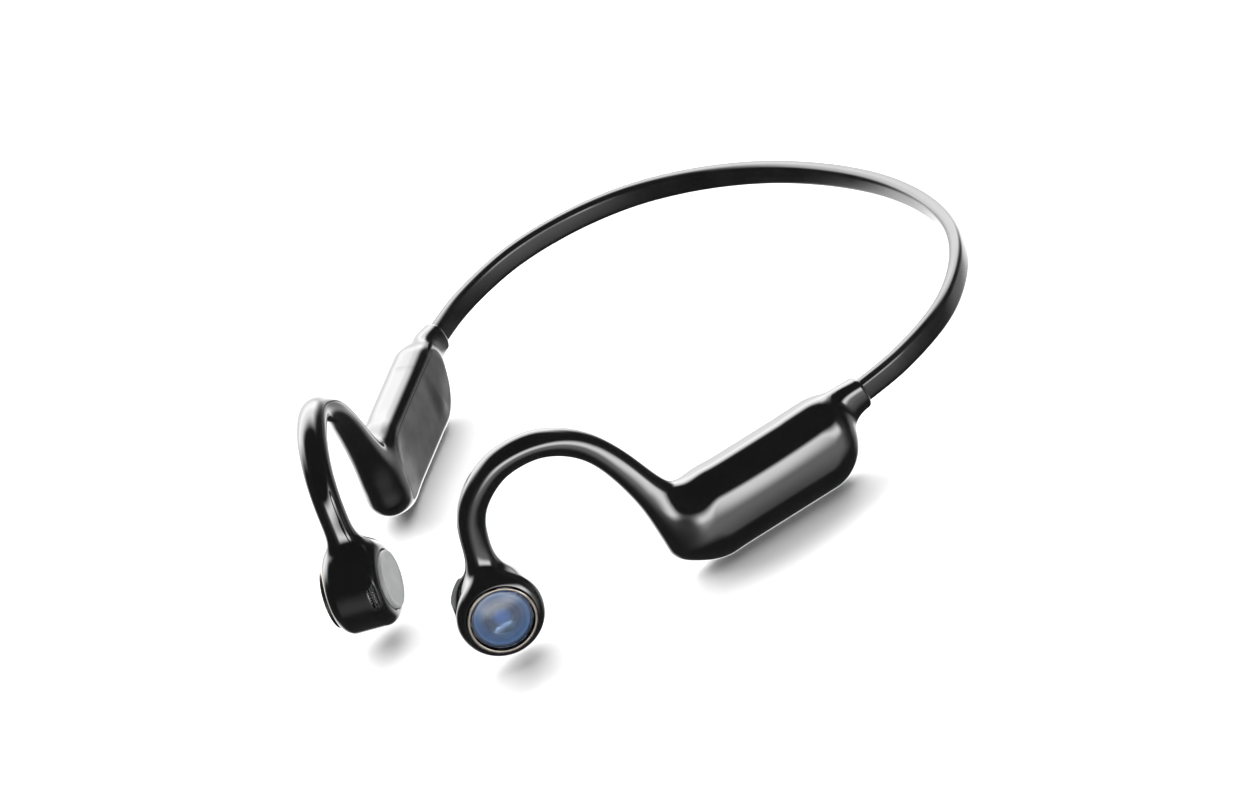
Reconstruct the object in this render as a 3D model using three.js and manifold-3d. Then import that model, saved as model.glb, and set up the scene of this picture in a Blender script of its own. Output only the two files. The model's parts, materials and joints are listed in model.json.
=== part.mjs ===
// Bone conduction headphones: an open neckband that ends, on each side, in a rounded pod, an ear hook
// and a round speaker that rests in front of the ear.
// Units are millimetres, +Z is up, the wearer looks along -Y and the wearer's left side is +X.
// Each pair of pieces is modelled on the left side and mirrored. The left pod holds the battery, the
// right pod holds the board, the socket and the keys.
import * as THREE from 'three';
import { mergeVertices } from 'three/addons/utils/BufferGeometryUtils.js';
import Module from 'manifold-3d';

const wasm = await Module();
wasm.setup();

// ---- driving dimensions ------------------------------------------------------------------------

const GAP = 0.3; // clearance between neighbouring pieces
const BAND_CENTRE = new THREE.Vector3(0, -61.44, 12.85); // headset frame to part frame

// Centre line of one half of the neckband, from the nape to inside the pod's neck
const BAND_HALF = [
  [0, 131.3], [20, 129.6], [37, 124.6], [49.1, 117.8], [58.3, 108.2],
  [64.2, 96.4], [65.5, 82], [63.5, 71.5], [60.4, 62.5], [56.5, 54],
];
const BAND_Z = 0.3;
const BAND_THICK = 2.9;
const BAND_TALL = 4.9;
const BAND_EDGE = 0.9;
const CHANNEL_THICK = 1.3;
const CHANNEL_TALL = 3.3;
const BAND_FLEX = 0.53; // share of the half line, from the nape, where the side arm starts to turn
const BAND_COLLAR = 0.849; // where the pod's collar starts
const BAND_END = 0.9; // where the sheath stops inside the neck
const BAND_STEPS = 26;

// Centre line of the ear hook, from inside the pod to inside the speaker
const HOOK_LINE = [
  [44.1, 29.5, -6.3], [42.4, 29.2, 7.6], [37.9, 25, 20.9], [33.6, 18.4, 26.8],
  [28, 11.6, 26.7], [24.1, 6.6, 23.1], [21.9, 3.7, 18.4], [20.8, 1.6, 9.4], [20.5, 0.6, 1.5],
];
const HOOK_RADIUS = 3.0;
const HOOK_BORE = 1.7;
const HOOK_FROM = 0.21; // share of the line where the hook leaves the pod's boss
const HOOK_TO = 0.865; // and where it meets the speaker's boss
const HOOK_STEPS = 18;
const POD_BOSS = { start: 2.4, growth: 0.7, swell: 0.9 }; // root radius, growth to the hook, bulge between
const SPEAKER_BOSS_FLARE = 1.4;

// Pod: a rounded body that leans with the jaw line
const POD_CENTRE = [54.8, 47.8, -3.6];
const POD_YAW = THREE.MathUtils.degToRad(26.5);
const POD_LEAN = THREE.MathUtils.degToRad(6.6);
const POD = {
  long: 19.5, tall: 9.1, outer: 5.8, inner: 4.7, corner: 8, outerRoll: 5.7, innerRoll: 2.8, slant: 0.14,
};
const POD_WALL = 1.3;

// Cover: a plate let into the pod's inner face. Heights are along the pod's outward axis.
const COVER = { long: 17.6, tall: 6.7, corner: 5.6, back: -2.9 };
const SEAL = { inset: 0.4, width: 0.8, low: -2.6, high: -1.9 };
const LEDGE = { inset: 1.5, low: -1.6, high: -0.9 };

// Neck between the pod and the band
const NECK = { tall: 3.35, thick: 2.45, rootTall: 6.6, rootThick: 3.6, drop: 3 };

// Speaker: a drum whose axis looks outward and a little forward
const SPEAKER_CENTRE = [20.3, 0, -1.4];
const SPEAKER_YAW = THREE.MathUtils.degToRad(35.7);
const SPEAKER_RISE = THREE.MathUtils.degToRad(3.2);
const DRUM = { radius: 8.9, half: 6.0, edge: 2.6, bore: 7.7, outerHole: 7.3, innerHole: 6.3, lip: 1.2 };
// Turned pieces in the drum: heights are along the speaker's outward axis
const RING = { inner: 6.45, outer: 7.0, low: 4.1, rim: 6.2, top: 6.5 };
const LENS = { radius: 6.1, low: 5.3, rim: 5.8, dome: 1.3 };
const BUTTON = { stem: 1.2, foot: 3.1, low: 3.8, top: 5 };
const SWITCH = { radius: 2.2, low: 1.3, top: 2.1, plunger: 0.9, plungerTop: 2.6 };
const PAD = { radius: 5.95, edge: 0.35, face: -6.5, back: -4.9 };
const PLATE = { radius: 7.3, low: -4.4, high: -3.9 };
const COIL = { inner: 3.95, outer: 4.65, low: -3.6, high: -0.9 };
const MAGNET = { radius: 3.6, low: -2.6, high: -0.1 };
const YOKE = { radius: 5.8, bore: 5, rim: -2.9, floor: 0.2, top: 1 };
const VENT = { long: 5, wide: 1.5, up: 1.9, along: -4.3 };

// Keys, socket and flap on the underside of the right pod, placed along the pod's long axis
const KEY = { long: 4.8, thick: 2.6, deep: 1.5 };
const KEY_AT = { volume_up: -4.4, volume_down: -10.2 };
const SOCKET = { long: 8.9, thick: 3.2, deep: 5.8, at: 5.4, low: -7.2 };
const FLAP = { long: 10.2, thick: 4.6, deep: 1.1 };
const LIGHT = { radius: 0.4, at: -0.8, length: 3.6 };

// What the pods hold, as low and high corners in the pod frame
const BATTERY = [[-11.5, -4.8, -0.6], [12.5, 5, 3]];
const BOARD = [[-12.5, -1, -0.6], [12.5, 4.9, 0.2]];
const RADIO = [[-5, -0.6, 0.5], [4, 4.4, 2.1]];
const MICROPHONE = [[-15, -2.5, -0.6], [-13.2, 0.5, 0.7]];
const KEY_SWITCH = { half: 1.6, low: 2.5, high: 3.9, back: -0.6, front: 1.2 }; // low, high: above the underside
const LEAD_PORT = { radius: 0.9, length: 5, centre: [-19, 1.5, 0.2] };

// ---- materials ---------------------------------------------------------------------------------

const material = (color, roughness, metalness = 0) =>
  new THREE.MeshStandardMaterial({ color, roughness, metalness });
const pianoBlack = () => material(0x0c0c0d, 0.08);
const satinBlack = () => material(0x2b2b2c, 0.45);
const silicone = () => material(0x141414, 0.3);
const steel = () => material(0xa9a7a2, 0.28, 1);
const springWire = () => material(0x8f9296, 0.35, 1);
const copper = () => material(0xb4693a, 0.35, 1);

// ---- solids ------------------------------------------------------------------------------------

function toManifold(geometry) {
  const bare = geometry.clone();
  for (const name of ['normal', 'uv']) bare.deleteAttribute(name);
  const merged = mergeVertices(bare, 1e-4);
  return new wasm.Manifold(new wasm.Mesh({
    numProp: 3,
    vertProperties: new Float32Array(merged.attributes.position.array),
    triVerts: new Uint32Array(merged.index.array),
  }));
}

function toGeometry(manifold) {
  const mesh = manifold.getMesh();
  const geometry = new THREE.BufferGeometry();
  geometry.setAttribute('position', new THREE.BufferAttribute(mesh.vertProperties, 3));
  geometry.setIndex(new THREE.BufferAttribute(mesh.triVerts, 1));
  return geometry;
}

function roundedShape(halfX, halfY, radius) {
  const shape = new THREE.Shape();
  shape.moveTo(halfX, -halfY + radius);
  shape.absarc(halfX - radius, halfY - radius, radius, 0, Math.PI / 2);
  shape.absarc(-halfX + radius, halfY - radius, radius, Math.PI / 2, Math.PI);
  shape.absarc(-halfX + radius, -halfY + radius, radius, Math.PI, Math.PI * 1.5);
  shape.absarc(halfX - radius, -halfY + radius, radius, Math.PI * 1.5, Math.PI * 2);
  return shape;
}

function withHole(shape, hole) {
  shape.holes.push(new THREE.Path(hole.getPoints(3).reverse()));
  return shape;
}

function rectangle(halfX, halfY) {
  const corners = [[-halfX, -halfY], [halfX, -halfY], [halfX, halfY], [-halfX, halfY]];
  return new THREE.Shape(corners.map((corner) => new THREE.Vector2(...corner)));
}

function circle(radius) {
  const shape = new THREE.Shape();
  shape.absarc(0, 0, radius, 0, Math.PI * 2);
  return shape;
}

// Extrudes a shape by 1 along Z in steps, then moves every vertex to place(x, y, t), with t from 0 to 1
function sweep(shape, steps, place, curveSegments = 3) {
  const geometry = new THREE.ExtrudeGeometry(shape, { depth: 1, steps, bevelEnabled: false, curveSegments });
  const position = geometry.attributes.position;
  const point = new THREE.Vector3();
  for (let i = 0; i < position.count; i += 1) {
    place(point.fromBufferAttribute(position, i).x, point.y, point.z, point);
    position.setXYZ(i, point.x, point.y, point.z);
  }
  return geometry;
}

// Box between two corners given as [low x, y, z], [high x, y, z]
function boxBetween(low, high) {
  const size = high.map((value, i) => value - low[i]);
  const geometry = new THREE.BoxGeometry(...size);
  return geometry.translate(...low.map((value, i) => value + size[i] / 2));
}

// Solid of revolution about +Y from [radius, height] points
function lathe(points, segments = 20) {
  return new THREE.LatheGeometry(points.map(([r, y]) => new THREE.Vector2(r, y)), segments);
}

function ring(inner, outer, low, high, segments = 16) {
  return lathe([[inner, low], [outer, low], [outer, high], [inner, high], [inner, low]], segments);
}

function disc(radius, low, high, segments = 16) {
  return lathe([[0, low], [radius, low], [radius, high], [0, high]], segments);
}

// ---- curves ------------------------------------------------------------------------------------

const UP = new THREE.Vector3(0, 0, 1);

const mirroredHalf = BAND_HALF.slice(1).reverse().map(([x, y]) => [-x, y]);
const bandCurve = new THREE.CatmullRomCurve3(
  [...mirroredHalf, ...BAND_HALF].map(([x, y]) => new THREE.Vector3(x, y, BAND_Z)), false, 'centripetal');
const hookCurve = new THREE.CatmullRomCurve3(
  HOOK_LINE.map((p) => new THREE.Vector3(...p)), false, 'centripetal');

// Point at offset (across, up) from the band's centre line, at share s of one half (negative on the right)
function onBand(s, across, up, target) {
  const at = 0.5 + s / 2;
  const tangent = bandCurve.getTangentAt(at);
  const outward = new THREE.Vector3().crossVectors(tangent, UP).normalize();
  return target.copy(bandCurve.getPointAt(at)).addScaledVector(outward, -across).addScaledVector(UP, up);
}

// The hook's section keeps one axis in the plane that the hook bends in
const hookSide = new THREE.Vector3(0.8, -0.6, 0);
function onHook(s, across, side, target) {
  const tangent = hookCurve.getTangentAt(s);
  const radial = new THREE.Vector3().crossVectors(hookSide, tangent).normalize();
  const lateral = new THREE.Vector3().crossVectors(tangent, radial).normalize();
  return target.copy(hookCurve.getPointAt(s)).addScaledVector(radial, across).addScaledVector(lateral, side);
}

// ---- local frames ------------------------------------------------------------------------------

// Pod frame: x runs to the rear along the pod, y up its face, z out of the outer face
const podMatrix = (() => {
  const long = new THREE.Vector3(Math.sin(POD_YAW), Math.cos(POD_YAW), 0);
  const flat = new THREE.Vector3(Math.cos(POD_YAW), -Math.sin(POD_YAW), 0);
  const out = flat.multiplyScalar(Math.cos(POD_LEAN)).addScaledVector(UP, Math.sin(POD_LEAN));
  const tall = new THREE.Vector3().crossVectors(out, long);
  return new THREE.Matrix4().makeBasis(long, tall, out).setPosition(...POD_CENTRE);
})();

// Speaker frame: y is the drum's axis out of the outer face, x points forward, z up
const speakerMatrix = (() => {
  const out = new THREE.Vector3(Math.cos(SPEAKER_YAW), -Math.sin(SPEAKER_YAW), 0);
  out.multiplyScalar(Math.cos(SPEAKER_RISE)).addScaledVector(UP, Math.sin(SPEAKER_RISE));
  const forward = new THREE.Vector3(-Math.sin(SPEAKER_YAW), -Math.cos(SPEAKER_YAW), 0);
  const up = new THREE.Vector3().crossVectors(forward, out);
  return new THREE.Matrix4().makeBasis(forward, out, up).setPosition(...SPEAKER_CENTRE);
})();

const inPod = (geometry) => geometry.applyMatrix4(podMatrix);
const inSpeaker = (geometry) => geometry.applyMatrix4(speakerMatrix);

// ---- assembly ----------------------------------------------------------------------------------

const group = new THREE.Group();
group.position.copy(BAND_CENTRE);

function addPiece(name, body, look) {
  const geometry = body.isBufferGeometry ? body : toGeometry(body);
  geometry.computeVertexNormals();
  const piece = new THREE.Mesh(geometry, look());
  piece.name = name;
  group.add(piece);
}

// Mirror image in the plane x = 0, with the faces turned to point out again
function mirrored(body) {
  const geometry = toGeometry(body.isBufferGeometry ? toManifold(body) : body).scale(-1, 1, 1);
  const index = geometry.index.array;
  for (let i = 0; i < index.length; i += 3) [index[i], index[i + 1]] = [index[i + 1], index[i]];
  return geometry;
}

// Adds a piece to the left side and its mirror image to the right side
function addPair(name, body, look, rightBody = body) {
  addPiece(`left_${name}`, body, look);
  addPiece(`right_${name}`, mirrored(rightBody), look);
}

// ---- neckband ----------------------------------------------------------------------------------

const WIRE = { radius: 0.45, up: 0.85 };
const LEADS = { halfThick: 0.3, halfTall: 0.55, up: -0.7 };
const FLEX_GAP = 0.004; // half the gap at the flex point, as a share of the half line

const bandSection = (grow = 0) => roundedShape(BAND_THICK / 2 + grow, BAND_TALL / 2 + grow, BAND_EDGE);
const sheathSection = () => withHole(bandSection(), rectangle(CHANNEL_THICK / 2, CHANNEL_TALL / 2));
const leadSection = () => rectangle(LEADS.halfThick, LEADS.halfTall);

function bandRun(shape, from, to, steps, up = 0, curveSegments = 1) {
  const place = (x, y, t, target) => onBand(from + (to - from) * t, x, y + up, target);
  return sweep(shape, steps, place, curveSegments);
}

const midEnd = BAND_FLEX - FLEX_GAP;
const armStart = BAND_FLEX + FLEX_GAP;
addPiece('neckband_sheath', bandRun(sheathSection(), -midEnd, midEnd, BAND_STEPS), silicone);
const midWire = bandRun(circle(WIRE.radius), -midEnd, midEnd, BAND_STEPS, WIRE.up, 3);
addPiece('neckband_spring_wire', midWire, springWire);
addPiece('neckband_leads', bandRun(leadSection(), -midEnd, midEnd, BAND_STEPS, LEADS.up), copper);

addPair('band_sheath', bandRun(sheathSection(), armStart, BAND_END, 9), silicone);
addPair('band_wire', bandRun(circle(WIRE.radius), armStart, 0.93, 9, WIRE.up, 3), springWire);
addPair('band_leads', bandRun(leadSection(), armStart, 0.925, 9, LEADS.up), copper);

// ---- pod ---------------------------------------------------------------------------------------

const PILLOW_STEPS = 8;
const HUGE = 60;

// Rounded body in the pod frame: an outline whose rim rolls in towards both faces
function pillow() {
  const place = (x, y, t, target) => {
    const side = t > 0.5 ? POD.outer : POD.inner;
    const roll = t > 0.5 ? POD.outerRoll : POD.innerRoll;
    const z = side * Math.sin((t - 0.5) * Math.PI);
    const over = Math.max(0, Math.abs(z) - (side - roll));
    const pull = roll - Math.sqrt(roll * roll - over * over);
    const tall = y * (1 - pull / POD.tall);
    return target.set(x * (1 - pull / POD.long) + POD.slant * tall, tall, z);
  };
  return sweep(roundedShape(POD.long, POD.tall, POD.corner), PILLOW_STEPS, place, 4);
}

// Room inside the pod, above the ledge that carries the cover's seal
function pillowRoom() {
  const long = POD.long - POD_WALL;
  const tall = POD.tall - POD_WALL;
  const top = POD.outer - POD_WALL;
  const roll = POD.outerRoll - POD_WALL;
  const place = (x, y, t, target) => {
    const z = THREE.MathUtils.lerp(LEDGE.high, top, t ** 0.6);
    const over = Math.max(0, z - (top - roll));
    const pull = roll - Math.sqrt(roll * roll - over * over);
    const high = y * (1 - pull / tall);
    return target.set(x * (1 - pull / long) + POD.slant * high, high, z);
  };
  return sweep(roundedShape(long, tall, POD.corner - POD_WALL), 6, place, 3);
}

// The pod's rear draws in to a collar around the band
function neck() {
  const place = (x, y, t, target) => {
    const ease = t * t * (3 - 2 * t);
    const thick = THREE.MathUtils.lerp(NECK.thick, NECK.rootThick, ease);
    const tall = THREE.MathUtils.lerp(NECK.tall, NECK.rootTall, ease);
    return onBand(BAND_COLLAR + (1 - BAND_COLLAR) * t, x * thick, y * tall - NECK.drop * ease, target);
  };
  return sweep(circle(1), 6, place, 7);
}

function hookTube(from, to, steps, radiusAt, curveSegments = 6) {
  const place = (x, y, t, target) => onHook(from + (to - from) * t, x * radiusAt(t), y * radiusAt(t), target);
  return sweep(circle(1), steps, place, curveSegments);
}

// Boss that carries the hook: swells out of the pod's front end, then draws in to the hook's own radius
const podBoss = () =>
  hookTube(0.01, HOOK_FROM - 0.004, 5, (t) =>
    POD_BOSS.start + POD_BOSS.growth * t + POD_BOSS.swell * Math.sin(Math.PI * t));
const hookBore = (from, to, steps) => hookTube(from, to, steps, () => HOOK_BORE, 4);

const podOuter = toManifold(inPod(pillow()));
const podRoom = toManifold(inPod(pillowRoom()));
const bandChannel = bandRun(bandSection(GAP), BAND_COLLAR - 0.05, 0.96, 5);

const coverShape = (inset) =>
  roundedShape(COVER.long - inset, COVER.tall - inset, COVER.corner - inset);

// Straight prism of a shape in the pod frame, slanted like the pod, between two heights
const podPrism = (shape, low, high, curveSegments) => inPod(sweep(
  shape, 1, (x, y, t, target) => target.set(x + POD.slant * y, y, low + (high - low) * t), curveSegments));

const POD_INSIDE = -9; // well past the inner face
const seat = podPrism(coverShape(-GAP), POD_INSIDE, LEDGE.low, 3);
const opening = podPrism(coverShape(LEDGE.inset), POD_INSIDE, 0, 3);
const leadPort = inPod(new THREE.CylinderGeometry(LEAD_PORT.radius, LEAD_PORT.radius, LEAD_PORT.length, 8)
  .rotateZ(Math.PI / 2).translate(...LEAD_PORT.centre));

const podBody = podOuter.add(toManifold(neck())).add(toManifold(podBoss()));
const podShell = [seat, opening, bandChannel, hookBore(0.03, HOOK_FROM + 0.02, 6), leadPort]
  .reduce((left, tool) => left.subtract(toManifold(tool)), podBody.subtract(podRoom));

const podCover = podBody.intersect(toManifold(podPrism(coverShape(0), POD_INSIDE, COVER.back, 3)));
addPair('pod_cover', podCover, satinBlack);

const sealShape = withHole(coverShape(SEAL.inset), coverShape(SEAL.inset + SEAL.width));
addPair('cover_seal', podPrism(sealShape, SEAL.low, SEAL.high, 3), silicone);

// A part of the pod's own skin, between two lengths, as a plug for an opening in the underside
function skinPlug(middle, long, thick, deep, sunk) {
  const block = boxBetween(
    [middle - long / 2, -HUGE, -thick / 2], [middle + long / 2, -POD.tall + sunk + deep, thick / 2]);
  return toManifold(inPod(pillow().translate(0, sunk, 0))).intersect(toManifold(inPod(block)));
}

const KEY_SLOT = 0.3;
const PLUG_SUNK = 0.25; // how far the keys and the flap sit below the pod's skin
const keyHoles = Object.values(KEY_AT).map((at) => boxBetween(
  [at - KEY.long / 2 - KEY_SLOT, -HUGE, -KEY.thick / 2 - KEY_SLOT],
  [at + KEY.long / 2 + KEY_SLOT, -POD.tall + 3, KEY.thick / 2 + KEY_SLOT]));
const flapSeat = boxBetween(
  [SOCKET.at - FLAP.long / 2 - GAP, -HUGE, -FLAP.thick / 2 - GAP],
  [SOCKET.at + FLAP.long / 2 + GAP, -POD.tall + FLAP.deep + 0.5, FLAP.thick / 2 + GAP]);
const lightHole = new THREE.CylinderGeometry(LIGHT.radius + GAP, LIGHT.radius + GAP, 6, 10)
  .translate(LIGHT.at, -POD.tall, 0);
const socketNotch = boxBetween(
  [SOCKET.at - SOCKET.long / 2 - GAP, SOCKET.low - GAP, -SOCKET.thick / 2 - GAP],
  [SOCKET.at + SOCKET.long / 2 + GAP, SOCKET.low + SOCKET.deep + GAP, 0]);
const rightPodShell = [...keyHoles, flapSeat, lightHole, socketNotch]
  .reduce((left, tool) => left.subtract(toManifold(inPod(tool))), podShell);
addPair('pod_shell', podShell, pianoBlack, rightPodShell);

// ---- ear hook ----------------------------------------------------------------------------------

const hookBody = hookTube(HOOK_FROM + 0.004, HOOK_TO - 0.004, HOOK_STEPS, () => HOOK_RADIUS, 6);
const hookChannel = hookBore(HOOK_FROM - 0.03, HOOK_TO + 0.03, HOOK_STEPS);
const hookSpan = toManifold(hookBody).subtract(toManifold(hookChannel));
addPair('ear_hook', hookSpan, pianoBlack);

function hookRun(shape, from, to, shift, curveSegments) {
  const place = (x, y, t, target) => onHook(from + (to - from) * t, x + shift, y, target);
  return sweep(shape, 16, place, curveSegments);
}
addPair('hook_wire', hookRun(circle(0.45), 0.09, 0.925, 0.75, 3), springWire);
addPair('hook_leads', hookRun(leadSection(), 0.09, 0.925, -0.7, 1), copper);

// ---- speaker -----------------------------------------------------------------------------------

// A quarter round from one [radius, height] to another, bulging towards the corner
function quarter(from, to, corner, count = 3) {
  return Array.from({ length: count - 1 }, (_, i) => {
    const t = ((i + 1) / count) * (Math.PI / 2);
    const a = 1 - Math.sin(t);
    const b = 1 - Math.cos(t);
    return [0, 1].map((k) => corner[k] + (from[k] - corner[k]) * a + (to[k] - corner[k]) * b);
  });
}

function drum() {
  const { radius, half, edge, bore, outerHole, innerHole, lip } = DRUM;
  const topIn = [outerHole, half];
  const topOut = [radius, half - edge];
  const lowOut = [radius, edge - half];
  const lowIn = [innerHole, -half];
  return lathe([
    [bore, half - lip], [bore, lip - half], [innerHole, lip - half], lowIn,
    ...quarter(lowIn, lowOut, [radius, -half]), lowOut,
    topOut, ...quarter(topOut, topIn, [radius, half]), topIn,
    [outerHole, half - lip], [bore, half - lip],
  ], 24);
}

const drumCore = toManifold(inSpeaker(disc(DRUM.bore, DRUM.lip - DRUM.half, DRUM.half - DRUM.lip, 24)));
const speakerBoss = hookTube(HOOK_TO + 0.004, 0.96, 3, (t) => HOOK_RADIUS + SPEAKER_BOSS_FLARE * t * t);
const drumBoss = toManifold(speakerBoss).subtract(drumCore);
const ventAngle = Math.asin(VENT.up / DRUM.radius);
const ventSlot = (grow, low, high) => {
  const slot = boxBetween(
    [low, VENT.along - VENT.wide / 2 - grow, -VENT.long / 2 - grow],
    [high, VENT.along + VENT.wide / 2 + grow, VENT.long / 2 + grow]);
  return inSpeaker(slot.rotateY(-ventAngle));
};
const speakerShell = toManifold(inSpeaker(drum()))
  .add(drumBoss)
  .subtract(toManifold(hookBore(HOOK_TO - 0.03, 1, 4)))
  .subtract(toManifold(ventSlot(0.25, DRUM.bore - 1.5, DRUM.radius + 2)));
addPair('speaker_shell', speakerShell, pianoBlack);
addPair('vent_mesh', ventSlot(-0.05, DRUM.bore + 0.15, DRUM.bore + 0.65), steel);

const addInSpeaker = (name, geometry, look) => addPair(name, inSpeaker(geometry), look);
addInSpeaker('contact_pad', lathe([
  [0, PAD.face], [PAD.radius - PAD.edge, PAD.face], [PAD.radius, PAD.face + 0.3],
  [PAD.radius, PAD.back], [0, PAD.back],
]), () => material(0xc9cac9, 0.55));
addInSpeaker('vibration_plate', disc(PLATE.radius, PLATE.low, PLATE.high), steel);
addInSpeaker('voice_coil', ring(COIL.inner, COIL.outer, COIL.low, COIL.high), copper);
addInSpeaker('magnet', disc(MAGNET.radius, MAGNET.low, MAGNET.high), steel);
addInSpeaker('yoke', lathe([
  [0, YOKE.floor], [YOKE.bore, YOKE.floor], [YOKE.bore, YOKE.rim], [YOKE.radius, YOKE.rim],
  [YOKE.radius, YOKE.top], [0, YOKE.top],
]), steel);
addInSpeaker('key_switch', lathe([
  [0, SWITCH.low], [SWITCH.radius, SWITCH.low], [SWITCH.radius, SWITCH.top], [SWITCH.plunger, SWITCH.top],
  [SWITCH.plunger, SWITCH.plungerTop], [0, SWITCH.plungerTop],
], 12), satinBlack);
addInSpeaker('trim_ring', lathe([
  [RING.inner, RING.low], [RING.outer, RING.low], [RING.outer, RING.rim], [RING.outer - 0.25, RING.top],
  [RING.inner + 0.1, RING.top - 0.1], [RING.inner, RING.rim], [RING.inner, RING.low],
], 24), steel);
addInSpeaker('button_base', lathe([
  [0, BUTTON.foot], [BUTTON.stem, BUTTON.foot], [BUTTON.stem, BUTTON.low], [LENS.radius, BUTTON.low],
  [LENS.radius, BUTTON.top], [0, BUTTON.top],
], 20), satinBlack);
addInSpeaker('gem_lens', lathe([
  [0, LENS.low], [LENS.radius, LENS.low], [LENS.radius, LENS.rim],
  [LENS.radius * 0.85, LENS.rim + LENS.dome * 0.35], [LENS.radius * 0.5, LENS.rim + LENS.dome * 0.78],
  [0, LENS.rim + LENS.dome],
], 20), () => material(0x3a6ea8, 0.05));

// ---- what the pods hold ------------------------------------------------------------------------

const addInRightPod = (name, body, look) => addPiece(name, mirrored(body), look);
const podBox = ([low, high]) => inPod(boxBetween(low, high));

addPiece('battery', podBox(BATTERY), () => material(0x9ea3a8, 0.4, 0.6));

addInRightPod('main_board', podBox(BOARD), () => material(0x12492f, 0.5));
addInRightPod('radio_module', podBox(RADIO), steel);
addInRightPod('usb_socket', podBox([
  [SOCKET.at - SOCKET.long / 2, SOCKET.low, -SOCKET.thick / 2],
  [SOCKET.at + SOCKET.long / 2, SOCKET.low + SOCKET.deep, SOCKET.thick / 2],
]), steel);
addInRightPod('status_light', inPod(new THREE.CylinderGeometry(LIGHT.radius, LIGHT.radius, LIGHT.length, 10)
  .translate(LIGHT.at, -POD.tall + LIGHT.length / 2 + 0.6, 0)), () => material(0xe8eef2, 0.2));
addInRightPod('port_flap', skinPlug(SOCKET.at, FLAP.long, FLAP.thick, FLAP.deep, PLUG_SUNK), silicone);
for (const [name, at] of Object.entries(KEY_AT)) {
  addInRightPod(`${name}_key`, skinPlug(at, KEY.long, KEY.thick, KEY.deep, PLUG_SUNK), satinBlack);
  addInRightPod(`${name}_switch`, podBox([
    [at - KEY_SWITCH.half, -POD.tall + KEY_SWITCH.low, KEY_SWITCH.back],
    [at + KEY_SWITCH.half, -POD.tall + KEY_SWITCH.high, KEY_SWITCH.front],
  ]), steel);
}
addInRightPod('microphone', podBox(MICROPHONE), steel);

export default group;
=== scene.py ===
"""Looks of the bone conduction headphones: smooth shells, skin, lens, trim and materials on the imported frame.

Shapes are worked out in millimetres in the headset frame (y = 0 at the speakers, z = 0 at the band) for the
left side, and mirrored for the right side. placed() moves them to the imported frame, in metres.
"""
import json
import math

import bmesh
import bpy
import numpy as np
from mathutils import Matrix, Vector


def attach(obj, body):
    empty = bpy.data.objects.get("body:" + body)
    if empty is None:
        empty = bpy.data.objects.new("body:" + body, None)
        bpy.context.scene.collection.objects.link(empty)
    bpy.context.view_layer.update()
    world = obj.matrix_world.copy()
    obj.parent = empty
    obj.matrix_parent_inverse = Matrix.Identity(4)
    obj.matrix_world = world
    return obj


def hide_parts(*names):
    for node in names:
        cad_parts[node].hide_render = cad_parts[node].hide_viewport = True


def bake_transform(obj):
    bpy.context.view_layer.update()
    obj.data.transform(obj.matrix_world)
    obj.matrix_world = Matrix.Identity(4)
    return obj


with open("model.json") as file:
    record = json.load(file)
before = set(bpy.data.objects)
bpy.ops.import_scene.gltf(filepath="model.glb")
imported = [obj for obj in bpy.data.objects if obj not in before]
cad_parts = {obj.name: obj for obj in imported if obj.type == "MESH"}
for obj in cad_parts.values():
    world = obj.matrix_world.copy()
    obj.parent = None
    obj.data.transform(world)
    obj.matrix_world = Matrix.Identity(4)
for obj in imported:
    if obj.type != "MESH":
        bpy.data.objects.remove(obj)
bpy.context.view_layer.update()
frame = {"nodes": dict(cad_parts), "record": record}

# ---- driving dimensions, in millimetres ----------------------------------------------------------

BAND_CENTRE = np.array([0, -61.44, 12.85])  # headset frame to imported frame
BAND_HALF = np.array([
    [0, 131.3], [20, 129.6], [37, 124.6], [49.1, 117.8], [58.3, 108.2],
    [64.2, 96.4], [65.5, 82], [63.5, 71.5], [60.4, 62.5], [56.5, 54],
])
BAND = {"z": 0.3, "thick": 2.9, "tall": 5.0, "edge": 1.2, "end": 0.9, "split": 0.36}
BAND_CHANNEL = {"thick": 1.3, "tall": 3.3, "edge": 0.3}  # for the wire and the leads
FLEX = {"start": 0.37, "end": 0.69}  # shares of the half line between which the real band flexes; here they only give two points that nothing uses

HOOK_LINE = np.array([
    [44.1, 29.5, -6.3], [42.4, 29.2, 7.6], [37.9, 25, 20.9], [33.6, 18.4, 26.8],
    [28, 11.6, 26.7], [24.1, 6.6, 23.1], [21.9, 3.7, 18.4], [20.8, 1.6, 9.4], [20.5, 0.6, 1.5],
])
HOOK_RADII = ([0, 0.18, 0.35, 0.6, 0.85, 1], [2.0, 3.2, 2.8, 3.1, 2.9, 2.9])
HOOK_BORE = 1.7
HOOK_FROM = 0.21  # shares of the line where the hook starts and ends
HOOK_TO = 0.865

POD = {
    "centre": (54.8, 47.8, -3.6), "yaw": math.radians(26.5), "lean": math.radians(6.6),
    "long": 19.5, "tall": 9.1, "corner": 8.0, "outer": 5.8, "inner": 4.7,
    "outer_roll": 5.7, "inner_roll": 2.8, "slant": 0.14, "crown_long": 0.8, "crown_tall": 2.4,
}
COVER = {
    "long": 17.6, "tall": 6.7, "corner": 3.5,
    "split": -2.9, "seat": -1.6, "ledge": 1.5, "ledge_top": 0.2,
}
SEAM = 0.12
POD_WALL = 1.3
ROOM_LOW = -0.9  # the inner end of the room in the pod, out of the pod's face
NECK = {
    "face": 71.2, "ahead": 4, "behind": 4.5, "root": (10.5, 1.1, -1.3), "lead": 0.28,
    "tall": 3.45, "thick": 2.5, "root_tall": 6.5, "root_thick": 3.3, "fullness": 2.6, "edge": 0.9,
}
BLEND = {"hook": 14.0, "neck": 2.6, "speaker": 7.0}

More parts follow.
